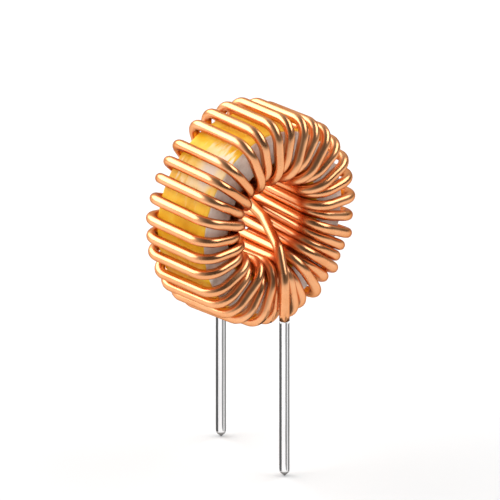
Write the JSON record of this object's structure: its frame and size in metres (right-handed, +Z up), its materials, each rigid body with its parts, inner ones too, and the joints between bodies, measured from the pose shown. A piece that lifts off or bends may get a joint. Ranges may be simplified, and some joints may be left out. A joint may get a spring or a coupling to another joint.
{
  "type": "toroidal inductor",
  "caption": "Toroidal inductor for a circuit board, standing on edge: a coated ring core wound with thick enamelled copper wire, with a tinned lead in front and one behind.",
  "frame": {"origin": "middle of the two leads, in the plane of the circuit board's top", "axes": "+Z up, away from the board and against the way the leads point; Y along the ring's axis, with the grey front face towards -Y; +X to the right seen from the front"},
  "size_m": [0.0147, 0.0088, 0.0249],
  "materials": {
    "coated_core": "satin coating, yellow on the rim, in the bore and on the back, pale grey on the front face",
    "enamelled_copper": "glossy clear enamel on copper",
    "tin": "smooth bright tin"
  },
  "bodies": {
    "root": {"core": "coated_core", "winding": "enamelled_copper", "front_lead_tin": "tin", "rear_lead_tin": "tin"}
  },
  "joints": []
}
